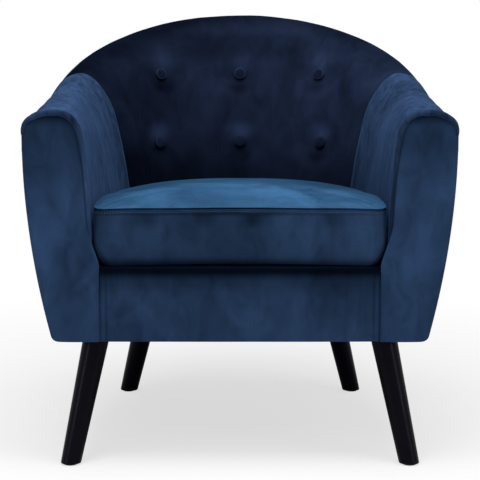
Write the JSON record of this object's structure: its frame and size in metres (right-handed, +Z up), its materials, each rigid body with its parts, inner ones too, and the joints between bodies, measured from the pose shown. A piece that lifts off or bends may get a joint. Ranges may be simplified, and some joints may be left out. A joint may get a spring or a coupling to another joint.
{
  "type": "upholstered armchair",
  "caption": "Rounded tub armchair with padded arms flowing into a buttoned curved back, a loose boxed seat cushion, a front border and splayed tapered round legs.",
  "frame": {"origin": "on the floor, under the middle of the chair's outline", "axes": "+X to the right as seen from the front, +Y to the back, +Z up; the front faces -Y"},
  "size_m": [0.72, 0.68, 0.763],
  "materials": {
    "velvet": "navy velvet pile",
    "leg_lacquer": "satin black lacquer",
    "glide_plastic": "matte",
    "frame_wood": "planed, unfinished",
    "thin_board": "thin bent board",
    "foam": "open-cell foam",
    "deck_cloth": "dark lining over padding",
    "steel": "bright wire and screws",
    "clip_plastic": "moulded",
    "twine": "twisted twine",
    "dust_cloth": "thin felted cloth",
    "zip_tape": "woven tape with moulded teeth",
    "zip_metal": "dark coating"
  },
  "bodies": {
    "chair": {"back_board": "thin_board", "back_rib_1": "frame_wood", "back_rib_2": "frame_wood", "back_rib_3": "frame_wood", "back_rib_4": "frame_wood", "back_top_rail": "frame_wood", "block_screws": "steel", "button_ties": "twine", "button_toggles": "clip_plastic", "deck_pad": "deck_cloth", "dust_cover": "dust_cloth", "dust_staples": "steel", "foot_glides": "glide_plastic", "front_border": "velvet", "front_left_block": "frame_wood", "front_left_leg": "leg_lacquer", "front_rail": "frame_wood", "front_right_block": "frame_wood", "front_right_leg": "leg_lacquer", "inside_back_cover": "velvet", "inside_back_foam": "foam", "left_arm_board": "thin_board", "left_arm_cover": "velvet", "left_arm_facing": "velvet", "left_arm_foam": "foam", "left_arm_rib": "frame_wood", "left_arm_top_rail": "frame_wood", "left_outside_arm_cover": "velvet", "left_seam_rib": "frame_wood", "left_side_rail": "frame_wood", "leg_bolts": "steel", "leg_inserts": "steel", "outside_back_cover": "velvet", "rear_left_block": "frame_wood", "rear_left_leg": "leg_lacquer", "rear_rail": "frame_wood", "rear_right_block": "frame_wood", "rear_right_leg": "leg_lacquer", "right_arm_board": "thin_board", "right_arm_cover": "velvet", "right_arm_facing": "velvet", "right_arm_foam": "foam", "right_arm_rib": "frame_wood", "right_arm_top_rail": "frame_wood", "right_outside_arm_cover": "velvet", "right_seam_rib": "frame_wood", "right_side_rail": "frame_wood", "seat_spring_1": "steel", "seat_spring_2": "steel", "seat_spring_3": "steel", "seat_spring_4": "steel", "seat_spring_5": "steel", "spring_clips": "clip_plastic", "spring_rail": "frame_wood", "tuft_buttons": "velvet"},
    "cushion": {"cushion_cover": "velvet", "cushion_foam": "foam", "cushion_zip": "zip_tape"},
    "zip_slider": {"zip_slider": "zip_metal"}
  },
  "joints": [
    {"name": "cushion_lift", "type": "slide", "parent": "chair", "child": "cushion", "axis": [0, 0, 1], "range_m": [0, 0.45]},
    {"name": "zip_run", "type": "hinge", "parent": "cushion", "child": "zip_slider", "pos_m": [0, -0.16637, 0.391], "axis": [0, 0, 1], "range_deg": [0, 49.6]}
  ]
}
